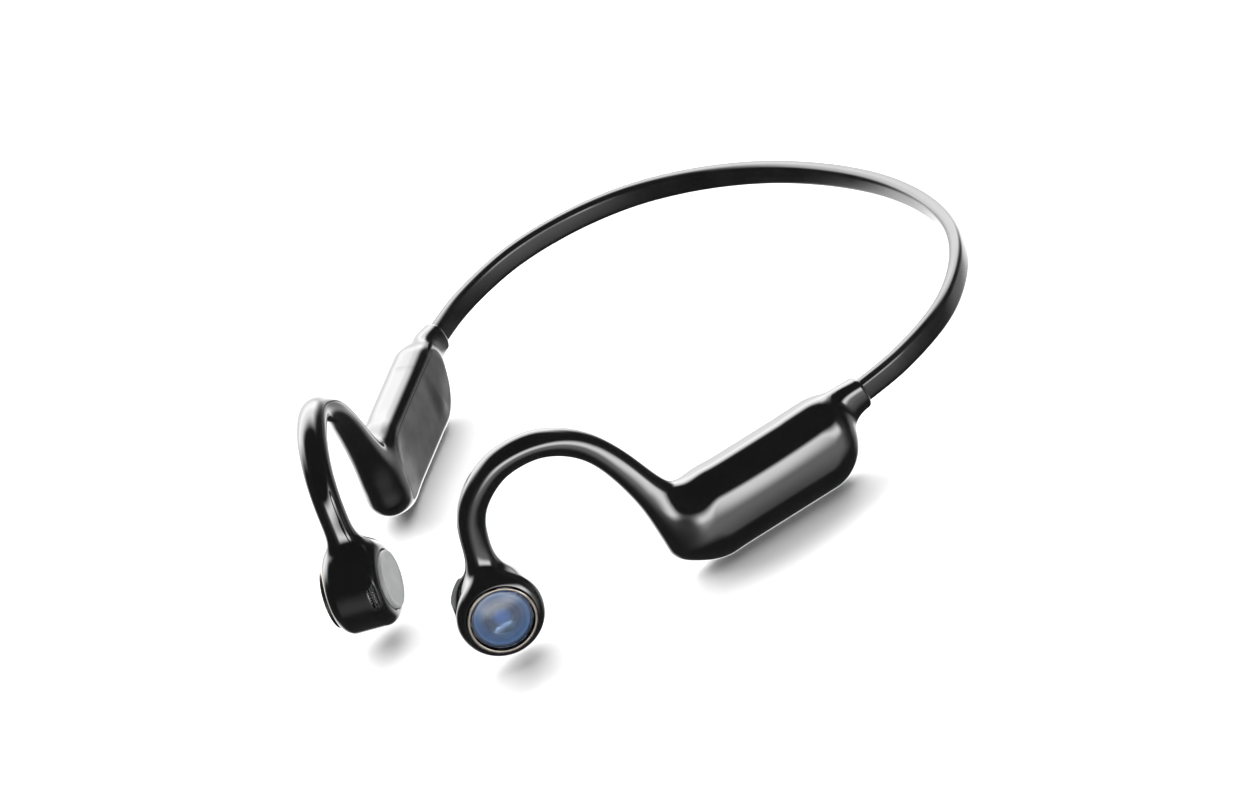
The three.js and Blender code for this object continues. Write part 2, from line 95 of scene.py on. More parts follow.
SPEAKER = {"centre": (20.3, 0, -1.4), "yaw": math.radians(35.7), "rise": math.radians(3.2)}
DRUM = {
    "radius": 8.9, "half": 5.85, "edge": 2.7, "bore": 7.7, "lip": 1.2, "outer_hole": 7.08, "inner_hole": 6.2,
}
RING = {"inner": 6.42, "outer": 7.0, "top": 6.45}
LENS = {"radius": 6.15, "low": 5.3, "rim": 5.9, "top": 7.0}
VENT = {"long": 5.0, "wide": 1.5, "up": 1.9, "along": -4.3}

KEY = {"long": 4.8, "thick": 2.6, "deep": 1.5, "corner": 0.8, "slot": 0.25, "slot_corner": 0.9}
KEY_AT = {"volume_up": -4.4, "volume_down": -10.2}
FLAP = {
    "at": 5.4, "long": 10.2, "thick": 4.6, "deep": 1.1, "corner": 1.5,
    "gap": 0.3, "seat": 0.55, "seat_corner": 1.3,
}
PLUG_SUNK = 0.25  # how far the keys and the flap sit below the pod's skin
SOCKET = {"long": 9.2, "thick": 3.5, "corner": 1.6}
LIGHT = {"at": -0.8, "radius": 0.4, "gap": 0.12}

PITCH = 0.4  # grid of the shells' mesh
SIDE_BOX = (6, -13, -17), (73, 76, 33)  # holds the left side
POD_BOX = (34, 26, -18), (74, 70, 10)  # holds the left pod


# ---- small helpers -------------------------------------------------------------------------------

def placed(points):
    return (np.asarray(points, float) + BAND_CENTRE) * 0.001


def unit(vector):
    vector = np.asarray(vector, float)
    return vector / np.linalg.norm(vector)


def size_of(vectors):
    return np.sqrt((vectors * vectors).sum(axis=-1))


def spline(points, count):
    """count evenly spaced points on the centripetal Catmull-Rom curve through the points."""
    points = np.asarray(points, float)
    ends = [2 * points[0] - points[1]], [2 * points[-1] - points[-2]]
    p = np.concatenate([ends[0], points, ends[1]])
    dense = []
    for i in range(1, len(p) - 2):
        a, b, c, d = p[i - 1:i + 3]
        t0, t1, t2 = (max(size_of(v) ** 0.5, 1e-6) for v in (b - a, c - b, d - c))
        out_b = ((b - a) / t0 - (c - a) / (t0 + t1) + (c - b) / t1) * t1
        in_c = ((c - b) / t1 - (d - b) / (t1 + t2) + (d - c) / t2) * t1
        s = np.linspace(0, 1, 40, endpoint=False)[:, None]
        h = (2 * s**3 - 3 * s**2 + 1, s**3 - 2 * s**2 + s, -2 * s**3 + 3 * s**2, s**3 - s**2)
        dense.append(h[0] * b + h[1] * out_b + h[2] * c + h[3] * in_c)
    dense = np.concatenate(dense + [points[-1:]])
    along = np.concatenate([[0], np.cumsum(size_of(np.diff(dense, axis=0)))])
    at = np.linspace(0, along[-1], count)
    return np.stack([np.interp(at, along, dense[:, k]) for k in range(3)], axis=1)


def tangents(points):
    t = np.gradient(points, axis=0)
    return t / size_of(t)[:, None]


def at_share(points, share):
    place = share * (len(points) - 1)
    low = min(int(place), len(points) - 2)
    return points[low] + (points[low + 1] - points[low]) * (place - low)


def smooth_min(a, b, width):
    near = np.maximum(width - np.abs(a - b), 0) / width
    return np.minimum(a, b) - near ** 3 * width / 6


def rounded_both(a, b, radius):
    """Inside of both a and b, with the edge between them rounded."""
    over = np.hypot(np.maximum(a + radius, 0), np.maximum(b + radius, 0))
    return over + np.minimum(np.maximum(a, b) + radius, 0) - radius


# ---- lines and local frames ----------------------------------------------------------------------

UP = np.array([0, 0, 1.0])
mirror = np.array([-1, 1])
band_plan = np.concatenate([(BAND_HALF[1:] * mirror)[::-1], BAND_HALF])
band_line = spline(np.column_stack([band_plan, np.full(len(band_plan), BAND["z"])]), 801)
band_ahead = tangents(band_line)
hook_line = spline(HOOK_LINE, 801)
hook_ahead = tangents(hook_line)


def pod_axes():
    """The pod's long axis to the rear, its axis up the face, and its axis out of the face."""
    yaw, lean = POD["yaw"], POD["lean"]
    long = np.array([math.sin(yaw), math.cos(yaw), 0])
    out = math.cos(lean) * np.array([math.cos(yaw), -math.sin(yaw), 0]) + math.sin(lean) * UP
    return np.stack([long, np.cross(out, long), out])


def speaker_axes():
    """The speaker's forward axis, its axis out of the outer face, and its up axis."""
    yaw, rise = SPEAKER["yaw"], SPEAKER["rise"]
    out = math.cos(rise) * np.array([math.cos(yaw), -math.sin(yaw), 0]) + math.sin(rise) * UP
    forward = np.array([-math.sin(yaw), -math.cos(yaw), 0])
    return np.stack([forward, out, np.cross(forward, out)])


POD_AXES = pod_axes()
SPEAKER_AXES = speaker_axes()


def from_pod(points):
    return np.asarray(points, float) @ POD_AXES + np.array(POD["centre"])


def from_speaker(points):
    return np.asarray(points, float) @ SPEAKER_AXES + np.array(SPEAKER["centre"])


# ---- the side's outer shape as a distance field --------------------------------------------------

def between(values, place):
    """Rows of values at fractional places."""
    low = np.minimum(place.astype(int), len(values) - 2)
    share = place - low
    if values.ndim > 1:
        share = share[:, None]
    return values[low] + (values[low + 1] - values[low]) * share


def nearest_on(line, points, stride):
    """Vectors from a smooth line to the points, and the fractional places on it that they start from."""
    ahead = np.gradient(line, axis=0)
    bend = np.gradient(ahead, axis=0)
    rough = line[::stride]
    spread = (points * points).sum(1)[:, None] - 2 * points @ rough.T + (rough * rough).sum(1)
    place = spread.argmin(axis=1) * float(stride)
    for _ in range(5):
        away = points - between(line, place)
        tangent = between(ahead, place)
        steep = (tangent * tangent).sum(1)
        rate = np.maximum(steep - (away * between(bend, place)).sum(1), 0.3 * steep)
        move = np.clip((away * tangent).sum(1) / rate, -stride, stride)
        place = np.clip(place + move, 0, len(line) - 1)
    return points - between(line, place), place


def pod_distance(points, shrink=0.0):
    u, v, w = ((points - np.array(POD["centre"])) @ POD_AXES.T).T
    u = u - POD["slant"] * v
    corner = POD["corner"] - shrink
    long, tall = POD["long"] - shrink, POD["tall"] - shrink
    x, y = np.abs(u) - (long - corner), np.abs(v) - (tall - corner)
    rim = np.hypot(np.maximum(x, 0), np.maximum(y, 0)) + np.minimum(np.maximum(x, y), 0) - corner
    out = w > 0
    roll = np.where(out, POD["outer_roll"], POD["inner_roll"]) - shrink
    depth = np.where(out, POD["outer"], POD["inner"]) - shrink
    dome = POD["crown_long"] * (u / POD["long"]) ** 2 + POD["crown_tall"] * (v / POD["tall"]) ** 2
    crown = dome * (np.maximum(w, 0) / POD["outer"]) ** 2
    face = np.abs(w) - (depth - roll) + crown
    side = rim + roll
    over = np.hypot(np.maximum(side, 0), np.maximum(face, 0))
    return over + np.minimum(np.maximum(side, face), 0) - roll


def neck_line():
    """Centre line and radii of the neck, from outside the collar to its root in the pod."""
    rear = band_line[len(band_line) // 2:]
    where = np.interp(-NECK["face"], -rear[:, 1], np.arange(len(rear)))
    face = at_share(rear, where / (len(rear) - 1))
    ahead = unit(at_share(rear, where / (len(rear) - 1) + 0.004) - face)
    root = from_pod(NECK["root"])
    line = spline([face - NECK["ahead"] * ahead, face, face + NECK["behind"] * ahead, root], 401)
    t = np.clip(np.linspace(-NECK["lead"], 1, len(line)), 0, 1)
    ease = t * t * (3 - 2 * t)
    tall = NECK["tall"] + ease * (NECK["root_tall"] - NECK["tall"])
    thick = NECK["thick"] + ease * (NECK["root_thick"] - NECK["thick"])
    return line, tall, thick, face, ahead


NECK_LINE, NECK_TALL, NECK_THICK, COLLAR_FACE, COLLAR_AHEAD = neck_line()


def neck_distance(points):
    away, place = nearest_on(NECK_LINE, points, 20)
    tall, thick = between(NECK_TALL, place), between(NECK_THICK, place)
    height = away[:, 2]
    across = np.sqrt(np.maximum((away * away).sum(1) - height * height, 0))
    full = NECK["fullness"]
    ring = ((np.abs(height) / tall) ** full + (across / thick) ** full) ** (1 / full)
    tube = (ring - 1) * np.minimum(tall, thick)
    beyond = (points - COLLAR_FACE) @ -COLLAR_AHEAD
    return rounded_both(tube, beyond, NECK["edge"])


def drum_distance(points):
    local = points - np.array(SPEAKER["centre"])
    along = local @ SPEAKER_AXES[1]
    radius = size_of(local - along[:, None] * SPEAKER_AXES[1])
    return rounded_both(radius - DRUM["radius"], np.abs(along) - DRUM["half"], DRUM["edge"])


def eased_between(places, stops, values):
    """Values at places between stops, with a level slope at each stop."""
    low = np.clip(np.searchsorted(stops, places, side="right") - 1, 0, len(stops) - 2)
    stops, values = np.asarray(stops, float), np.asarray(values, float)
    t = np.clip((places - stops[low]) / (stops[low + 1] - stops[low]), 0, 1)
    return values[low] + (values[low + 1] - values[low]) * t * t * (3 - 2 * t)


HOOK_RADIUS_ALONG = eased_between(np.linspace(0, 1, len(hook_line)), *HOOK_RADII)


def hook_distance(points):
    away, place = nearest_on(hook_line, points, 20)
    return size_of(away) - between(HOOK_RADIUS_ALONG, place)


def side_distance(points):
    pod = smooth_min(pod_distance(points), neck_distance(points), BLEND["neck"])
    hooked = smooth_min(pod, hook_distance(points), BLEND["hook"])
    return smooth_min(hooked, drum_distance(points), BLEND["speaker"])


def slope(field, points, step=0.01):
    out = np.empty_like(points)
    for k in range(3):
        shift = np.zeros(3)
        shift[k] = step
        out[:, k] = (field(points + shift) - field(points - shift)) / (2 * step)
    return out


# ---- meshes from distance fields -----------------------------------------------------------------

def in_chunks(field, points, chunk=60000):
    return np.concatenate([field(points[i:i + chunk]) for i in range(0, len(points), chunk)])


def grid_values(field, low, shape, pitch, block=4):
    """Field values on a grid, exact near the surface and only of the right sign elsewhere."""
    blocks = -(-np.array(shape) // block)
    centres = np.stack(np.meshgrid(*[np.arange(n) for n in blocks], indexing="ij"), -1).reshape(-1, 3)
    middle = low + (centres * block + (block - 1) / 2) * pitch
    rough = in_chunks(field, middle)
    near = np.abs(rough) < block * pitch * 1.3
    values = np.repeat(np.repeat(np.repeat(
        np.sign(rough).reshape(blocks) * 9.0, block, 0), block, 1), block, 2)
    inner = np.stack(np.meshgrid(*[np.arange(block)] * 3, indexing="ij"), -1).reshape(-1, 3)
    index = (centres[near][:, None] * block + inner).reshape(-1, 3)
    values[tuple(index.T)] = in_chunks(field, low + index * pitch)
    return values[:shape[0], :shape[1], :shape[2]]


def surface_net(field, low, high, pitch):
    """Closed quad mesh of the field's zero surface: one vertex in each grid cell that it crosses."""
    low = np.asarray(low, float)
    shape = tuple((np.ceil((np.asarray(high) - low) / pitch).astype(int) + 1).tolist())
    values = grid_values(field, low, shape, pitch)
    inside = values < 0
    cells = tuple(n - 1 for n in shape)
    keys, spots, quads = [], [], []
    for k in range(3):
        first = [slice(None)] * 3
        second = [slice(None)] * 3
        first[k], second[k] = slice(0, -1), slice(1, None)
        a, b = values[tuple(first)], values[tuple(second)]
        edges = np.argwhere((a < 0) != (b < 0))
        va, vb = a[tuple(edges.T)], b[tuple(edges.T)]
        spot = edges.astype(float)
        spot[:, k] += va / (va - vb)
        i, j = [axis for axis in range(3) if axis != k]
        ring = []
        for di, dj in ((-1, -1), (0, -1), (0, 0), (-1, 0)):
            cell = edges.copy()
            cell[:, i] += di
            cell[:, j] += dj
            ring.append(np.ravel_multi_index(cell.T, cells))
        ring = np.stack(ring, axis=1)
        flip = (va < 0) == (k == 1)
        ring[flip] = ring[flip][:, ::-1]
        quads.append(ring)
        keys.append(ring.ravel())
        spots.append(np.repeat(spot, 4, axis=0))
    keys, spots, quads = np.concatenate(keys), np.concatenate(spots), np.concatenate(quads)
    used, inverse = np.unique(keys, return_inverse=True)
    count = np.bincount(inverse)
    vertices = np.stack([np.bincount(inverse, spots[:, k]) / count for k in range(3)], axis=1)
    faces = np.searchsorted(used, quads)
    return low + vertices * pitch, faces


def onto_surface(field, points, rounds=3):
    for _ in range(rounds):
        g = slope(field, points)
        points = points - (field(points) / np.maximum((g * g).sum(1), 0.2))[:, None] * g
    return points


def relaxed(field, points, faces, rounds=3):
    """Evens out the quads along the surface."""
    pairs = np.concatenate([faces[:, [0, 1]], faces[:, [1, 2]], faces[:, [2, 3]], faces[:, [3, 0]]])
    pairs = np.unique(np.sort(pairs, axis=1), axis=0)
    degree = np.bincount(pairs.ravel(), minlength=len(points))
    for _ in range(rounds):
        total = np.zeros_like(points)
        for k in range(3):
            total[:, k] = np.bincount(pairs[:, 0], points[pairs[:, 1], k], len(points))
            total[:, k] += np.bincount(pairs[:, 1], points[pairs[:, 0], k], len(points))
        middle = total / degree[:, None]
        points = onto_surface(field, points + 0.5 * (middle - points), 1)
    return onto_surface(field, points, 2)


# ---- Blender objects -----------------------------------------------------------------------------

def new_object(name, vertices, faces, smooth=True):
    """An object from points in the headset frame, in millimetres."""
    data = bpy.data.meshes.new(name)
    data.from_pydata(placed(vertices).tolist(), [], [list(map(int, f)) for f in faces])
    data.update()
    obj = bpy.data.objects.new(name, data)
    bpy.context.scene.collection.objects.link(obj)
    data.polygons.foreach_set("use_smooth", [smooth] * len(data.polygons))
    return obj


def boolean(obj, tool, operation, name=None):
    """Keeps the cut or common part of obj. With a name, obj stays and the result is a new object."""
    modifier = obj.modifiers.new("cut", "BOOLEAN")
    modifier.solver = "MANIFOLD"
    modifier.operation = operation
    modifier.object = tool
    bpy.context.view_layer.update()
    view = bpy.context.evaluated_depsgraph_get()
    data = bpy.data.meshes.new_from_object(obj.evaluated_get(view))
    obj.modifiers.remove(modifier)
    if name is None:
        obj.data = data
        return obj
    result = bpy.data.objects.new(name, data)
    bpy.context.scene.collection.objects.link(result)
    return result


def discard(*objects):
    for obj in objects:
        bpy.data.objects.remove(obj)


def lofted(name, rings, closed=False, smooth=True):
    """Mesh through rings of points. Open ends get a flat cap."""
    rings = np.asarray(rings)
    count, across = rings.shape[:2]
    faces = []
    for i in range(count if closed else count - 1):
        a, b = i * across, (i + 1) % count * across
        for j in range(across):
            k = (j + 1) % across
            faces.append([a + j, a + k, b + k, b + j])
    if not closed:
        faces.append(list(range(across))[::-1])
        faces.append([(count - 1) * across + j for j in range(across)])
    return new_object(name, rings.reshape(-1, 3), faces, smooth)


def turned(name, profile, to_side=from_speaker, count=96, smooth=True):
    """Solid of revolution about local y from (radius, height) points; it may start and end on the axis."""
    profile = np.asarray(profile, float)
    angles = np.linspace(0, 2 * math.pi, count, endpoint=False)
    vertices, rows = [], []
    for radius, height in profile:
        if radius < 1e-6:
            rows.append([len(vertices)] * count)
            vertices.append([0, height, 0])
        else:
            rows.append(list(range(len(vertices), len(vertices) + count)))
            vertices += [[radius * math.cos(a), height, radius * math.sin(a)] for a in angles]
    faces = []
    on_axis = profile[0][0] < 1e-6 and profile[-1][0] < 1e-6
    pairs = list(zip(rows[:-1], rows[1:])) + ([] if on_axis else [(rows[-1], rows[0])])
    for low, high in pairs:
        for j in range(count):
            k = (j + 1) % count
            face = [low[j], high[j], high[k], low[k]]
            face = [v for n, v in enumerate(face) if v not in face[:n]]
            if len(face) > 2:
                faces.append(face)
    return new_object(name, to_side(vertices), faces, smooth)


def arc(centre, radius, start, end, count=6):
    """Points of an arc in (radius, height), with angles in degrees from the outward direction."""
    angles = np.radians(np.linspace(start, end, count))
    return [(centre[0] + radius * math.cos(a), centre[1] + radius * math.sin(a)) for a in angles]


def rounded_outline(half_x, half_y, radius, count=8):
    points = []
    for x, y, start in ((1, 1, 0), (-1, 1, 90), (-1, -1, 180), (1, -1, 270)):
        points += arc((x * (half_x - radius), y * (half_y - radius)), radius, start, start + 90, count)
    return np.array(points)


def block(name, low, high, to_side):
    x, y, z = zip(low, high)
    corners = [[x[i], y[j], z[k]] for i in (0, 1) for j in (0, 1) for k in (0, 1)]
    faces = [[0, 1, 3, 2], [4, 6, 7, 5], [0, 4, 5, 1], [2, 3, 7, 6], [0, 2, 6, 4], [1, 5, 7, 3]]
    return new_object(name, to_side(corners), faces, False)


def prism(name, outline, low, high, to_side):
    """A straight prism of the outline between two heights on the third local axis."""
    rings = [to_side(np.column_stack([outline, np.full(len(outline), float(at))])) for at in (low, high)]
    return lofted(name, rings, smooth=False)


def facing_out(obj):
    """Turns the faces to point out."""
    work = bmesh.new()
    work.from_mesh(obj.data)
    bmesh.ops.recalc_face_normals(work, faces=work.faces)
    work.to_mesh(obj.data)
    work.free()
    return obj


def mirror_copy(obj, name):
    data = obj.data.copy()
    data.name = name
    co = np.zeros(len(data.vertices) * 3, np.float32)
    data.vertices.foreach_get("co", co)
    co[0::3] *= -1
    data.vertices.foreach_set("co", co)
    data.flip_normals()
    data.update()
    copy = bpy.data.objects.new(name, data)
    bpy.context.scene.collection.objects.link(copy)
    return copy


def skin_normals(obj, field, flip=1):
    """Shades the outer skin with the field's exact slope, and every other face flat or by its own edges."""
    data = obj.data
    count = len(data.vertices)
    co = np.zeros(count * 3, np.float32)
    data.vertices.foreach_get("co", co)
    points = co.reshape(-1, 3).astype(float) * 1000 - BAND_CENTRE
    points[:, 0] *= flip
    distance = in_chunks(field, points)
    on_skin = np.abs(distance) < 0.02
    exact = np.zeros_like(points)
    exact[on_skin] = slope(field, points[on_skin])
    exact /= np.maximum(size_of(exact), 1e-9)[:, None]
    exact[:, 0] *= flip
    data.polygons.foreach_set("use_smooth", [True] * len(data.polygons))
    data.set_sharp_from_angle(angle=math.radians(35))
    vertex_of = np.zeros(len(data.loops), np.int32)
    data.loops.foreach_get("vertex_index", vertex_of)
    total = np.zeros(len(data.polygons), np.int32)
    data.polygons.foreach_get("loop_total", total)
    face_of = np.repeat(np.arange(len(total)), total)
    face_normal = np.zeros(len(total) * 3, np.float32)
    data.polygons.foreach_get("normal", face_normal)
    face_normal = face_normal.reshape(-1, 3)[face_of]
    agree = (face_normal * exact[vertex_of]).sum(1) > 0.75
    whole = np.ones(len(total), bool)
    np.logical_and.at(whole, face_of, on_skin[vertex_of] & agree)
    custom = np.zeros((len(vertex_of), 3), np.float32)
    use = whole[face_of]
    custom[use] = exact[vertex_of[use]]
    data.normals_split_custom_set(custom.tolist())


def shade_by_angle(obj, degrees=35):
    obj.data.polygons.foreach_set("use_smooth", [True] * len(obj.data.polygons))
    obj.data.set_sharp_from_angle(angle=math.radians(degrees))


# ---- the left side's shells ----------------------------------------------------------------------

def half_space(name, point, ahead, half, depth):
    """A box that starts at the point and reaches ahead."""
    side = unit(np.cross(ahead, [0.3, 0.9, 0.2]))
    axes = np.stack([side, np.cross(ahead, side), ahead])
    return block(name, (-half, -half, 0), (half, half, depth), lambda p: np.asarray(p) @ axes + point)


def ring_around(centre, ahead, outline):
    """The outline in the plane across the line, with its second axis near vertical."""
    across = unit(np.cross(ahead, UP))
    return centre + np.outer(outline[:, 0], across) + np.outer(outline[:, 1], np.cross(across, ahead))


def band_rings(outline, start, end, steps):
    """Rings across the band between two shares of its half line, negative on the right."""
    rings = []
    for share in np.linspace(start, end, steps + 1):
        place = 0.5 + share / 2
        centre, ahead = at_share(band_line, place), at_share(band_ahead, place)
        across = unit(np.cross(ahead, UP))
        rings.append(centre + np.outer(outline[:, 0], across) + np.outer(outline[:, 1], UP))
    return rings


def hook_place(share):
    """A point on the hook's line, and the line's direction there."""
    return at_share(hook_line, share), at_share(hook_ahead, share)


def hook_bore():
    circle = np.array(arc((0, 0), HOOK_BORE, 0, 360, 25)[:-1])
    shares = np.linspace(0.08, 0.965, 60)
    rings = [ring_around(*hook_place(s), circle) for s in shares]
    return lofted("hook_bore", rings)


def pod_outline(part, grow=0.0):
    outline = rounded_outline(part["long"] + grow, part["tall"] + grow, part["corner"] + grow, 10)
    outline[:, 0] += POD["slant"] * outline[:, 1]
    return outline


def pod_room():
    def field(points):
        w = (points - np.array(POD["centre"])) @ POD_AXES[2]
        return np.maximum(pod_distance(points, POD_WALL), ROOM_LOW - w)

    vertices, faces = surface_net(field, *POD_BOX, 0.8)
    return new_object("pod_room", vertices, faces)


def vent_outline():
    outline = rounded_outline(VENT["wide"] / 2, VENT["long"] / 2, VENT["wide"] / 2 - 0.01, 8)
    return outline + np.array([VENT["along"], 0])


def from_vent(points):
    """Local axes: along the speaker's axis, up along the slot, and out of the slot."""
    y, z, x = np.asarray(points, float).T
    turn = math.asin(VENT["up"] / DRUM["radius"])
    turned_x = x * math.cos(turn) - z * math.sin(turn)
    return from_speaker(np.column_stack([turned_x, y, x * math.sin(turn) + z * math.cos(turn)]))


def speaker_cavity():
    half, lip, bore = DRUM["half"], DRUM["lip"], DRUM["bore"]
    outer, inner = DRUM["outer_hole"], DRUM["inner_hole"]
    chamfer = 0.16
    return turned("speaker_cavity", [
        (0, -8), (inner + chamfer, -8), (inner + chamfer, chamfer - half), (inner, 2 * chamfer - half),
        (inner, lip - half), (bore, lip - half), (bore, half - lip), (outer, half - lip),
        (outer, half - 0.33), (outer + chamfer, half - 0.15), (outer + chamfer, 8), (0, 8),
    ], count=128)


def side_shells():
    """The left side's pod shell, pod cover, ear hook and speaker shell, cut from one smooth body."""
    vertices, faces = surface_net(side_distance, *SIDE_BOX, PITCH)
    vertices = onto_surface(side_distance, vertices)
    whole = new_object("whole", relaxed(side_distance, vertices, faces), faces)
    facing_out(whole)
    speaker_end = half_space("speaker_end", *hook_place(HOOK_TO), 19, 40)
    hook_end = half_space("hook_end", *hook_place(HOOK_FROM), 45, 70)
    bore, room, cavity = hook_bore(), pod_room(), speaker_cavity()
    for tool in (speaker_end, hook_end, bore, room, cavity):
        facing_out(tool)
    speaker = boolean(whole, speaker_end, "INTERSECT", "left_speaker_shell_skin")
    rest = boolean(whole, speaker_end, "DIFFERENCE", "rest")
    hook = boolean(rest, hook_end, "INTERSECT", "left_ear_hook_skin")
    pod = boolean(rest, hook_end, "DIFFERENCE", "pod")

    vent = facing_out(prism("vent_cut", vent_outline(), 6, 12, from_vent))
    for tool in (cavity, bore, vent):
        boolean(speaker, tool, "DIFFERENCE")
    boolean(hook, bore, "DIFFERENCE")

    below = -9  # beyond the inner face
    cover_cut = facing_out(prism("cover_cut", pod_outline(COVER), below, COVER["split"], from_pod))
    cover = boolean(pod, cover_cut, "INTERSECT", "left_pod_cover_skin")
    recess = facing_out(prism("recess", pod_outline(COVER, SEAM), below, COVER["seat"], from_pod))
    ledge = pod_outline(COVER, -COVER["ledge"])
    opening = facing_out(prism("opening", ledge, below, COVER["ledge_top"], from_pod))
    slack = 0.15
    channel_outline = rounded_outline(BAND["thick"] / 2 + slack, BAND["tall"] / 2 + slack, BAND["edge"] + 0.1)
    channel = facing_out(lofted("channel", band_rings(channel_outline, 0.82, 0.95, 14)))
    for tool in (recess, opening, room, channel, bore):
        boolean(pod, tool, "DIFFERENCE")
    pod.name = "left_pod_shell_skin"
    discard(whole, rest, speaker_end, hook_end, bore, room, cavity, vent, cover_cut, recess, opening, channel)
    return pod, cover, hook, speaker


def underside_cuts():
    """Openings in the right pod's underside, made on the left pod before it is mirrored."""
    tools = []
    low = -POD["tall"]
    slot = KEY["slot"]
    for name, at in KEY_AT.items():
        outline = rounded_outline(KEY["long"] / 2 + slot, KEY["thick"] / 2 + slot, KEY["slot_corner"])
        outline[:, 0] += at
        tools.append(prism(name + "_cut", outline, low - 3, low + 3, underside))
    gap = FLAP["gap"]
    outline = rounded_outline(FLAP["long"] / 2 + gap, FLAP["thick"] / 2 + gap, FLAP["seat_corner"])
    outline[:, 0] += FLAP["at"]
    tools.append(prism("flap_cut", outline, low - 3, low + FLAP["deep"] + FLAP["seat"], underside))
    socket = rounded_outline(SOCKET["long"] / 2, SOCKET["thick"] / 2, SOCKET["corner"])
    socket[:, 0] += FLAP["at"]
    tools.append(prism("socket_cut", socket, low, low + 3, underside))
    reach = LIGHT["radius"] + LIGHT["gap"]
    hole = rounded_outline(reach, reach, reach - 0.01)
    hole[:, 0] += LIGHT["at"]
    tools.append(prism("light_cut", hole, low - 3, low + 3, underside))
    return [facing_out(tool) for tool in tools]


def underside(points):
    """Local axes: along the pod, across its thickness, and up from the pod's centre."""
    points = np.asarray(points, float)
    return from_pod(points[:, [0, 2, 1]])


def box_distance(local, half, radius):
    q = np.abs(local) - (np.asarray(half) - radius)
    return size_of(np.maximum(q, 0)) + np.minimum(q.max(axis=1), 0) - radius


def skin_plug(name, at, long, thick, deep, corner):
    """A cap whose outer face follows the pod's underside, sunk a little below it."""
    middle = from_pod([at, -POD["tall"] + deep / 2, 0])

    def field(points):
        local = (points - middle) @ POD_AXES.T
        outline = box_distance(local[:, [0, 2]], (long / 2, thick / 2), corner)
        low = pod_distance(points) + PLUG_SUNK
        top = local[:, 1] - deep / 2
        return rounded_both(rounded_both(outline, low, 0.22), top, 0.1)

    reach = long / 2 + deep + 1.5
    vertices, faces = surface_net(field, middle - reach, middle + reach, 0.16)
    vertices = onto_surface(field, vertices)
    return facing_out(new_object(name, relaxed(field, vertices, faces, 2), faces))


def vent_grille(name):
    """A plate behind the slot, with rows of round holes."""
    spacing, hole = 0.56, 0.19
    half = (0.68, 2.4, 0.22)
    low_x = DRUM["bore"] + 0.1

    def field(local):
        plate = box_distance(local - np.array([VENT["along"], 0, low_x + 0.25]), half, 0.1)
        y = local[:, 0] - VENT["along"]
        hole_y = y - np.clip(np.round(y / spacing), -1, 1) * spacing
        hole_z = local[:, 1] - np.clip(np.round(local[:, 1] / spacing), -4, 4) * spacing
        return rounded_both(plate, hole - np.hypot(hole_y, hole_z), 0.04)

    low = np.array([VENT["along"] - 1, -2.8, low_x - 0.3])
    vertices, faces = surface_net(field, low, low + np.array([2, 5.6, 1.1]), 0.07)
    vertices = onto_surface(field, vertices)
    return facing_out(new_object(name, from_vent(vertices), faces))


# ---- turned pieces of the speaker ----------------------------------------------------------------

def trim_ring(name):
    inner, outer, top = RING["inner"], RING["outer"], RING["top"]
    return turned(name, [
        (inner, 4.1), (outer, 4.1), *arc((outer - 0.2, top - 0.2), 0.2, 0, 90, 7),
        *arc((inner + 0.12, top - 0.12), 0.12, 90, 180, 5),
    ])


def gem_lens(name):
    radius, rim, top = LENS["radius"], LENS["rim"], LENS["top"]
    low = LENS["low"]
    shoulder = 5.75
    shoulder_top = rim + 0.16
    rise = top - shoulder_top
    sphere = (shoulder * shoulder + rise * rise) / (2 * rise)
    reach = math.asin(shoulder / sphere)
    dome = [(sphere * math.sin(a), top - sphere + sphere * math.cos(a)) for a in np.linspace(reach, 0, 22)]
    dome[-1] = (0, top)
    return turned(name, [
        (0, low), (radius - 0.1, low), (radius, low + 0.1),
        *arc((radius - 0.2, rim - 0.05), 0.2, 0, 80, 6), *dome,
    ])


def button_cap(name):
    """The cap under the lens, with a polished bowl, a step round it and a stem."""
    radius, stem, low, rim = 6.1, 1.2, 3.8, 5.0
    dish = []
    for r in np.linspace(5.35, 0, 48):
        depth = 0.2 * (1 - (r / 5.35) ** 2) + 0.62 * (1 - min(r / 3.6, 1) ** 2) ** 1.3
        step = 0.04 * math.tanh((r - 4.4) / 0.05)
        dish.append((r, rim - 0.1 - depth + step))
    dish[-1] = (0, dish[-1][1])
    return turned(name, [
        (0, 3.1), (stem, 3.1), (stem, low), (radius, low), *arc((radius - 0.15, rim - 0.15), 0.15, 0, 90, 4),
        (5.5, rim), *dish,
    ])


def contact_pad(name):
    face, radius = -6.5, 5.95
    return turned(name, [
        (0, -4.9), (radius, -4.9), *arc((radius - 0.3, face + 0.18), 0.3, 0, -90, 7),
        (5.3, face - 0.06), (5.1, face + 0.02), (4.9, face + 0.03), (2.5, face), (0, face),
    ])


# ---- neckband ------------------------------------------------------------------------------------

def band_skin(name, start, end, steps):
    outer = rounded_outline(BAND["thick"] / 2, BAND["tall"] / 2, BAND["edge"])
    inner = rounded_outline(BAND_CHANNEL["thick"] / 2, BAND_CHANNEL["tall"] / 2, BAND_CHANNEL["edge"])
    rings = band_rings(outer, start, end, steps) + band_rings(inner, end, start, steps)
    skin = facing_out(lofted(name, rings, closed=True))
    shade_by_angle(skin, 50)
    return skin


# ---- materials -----------------------------------------------------------------------------------

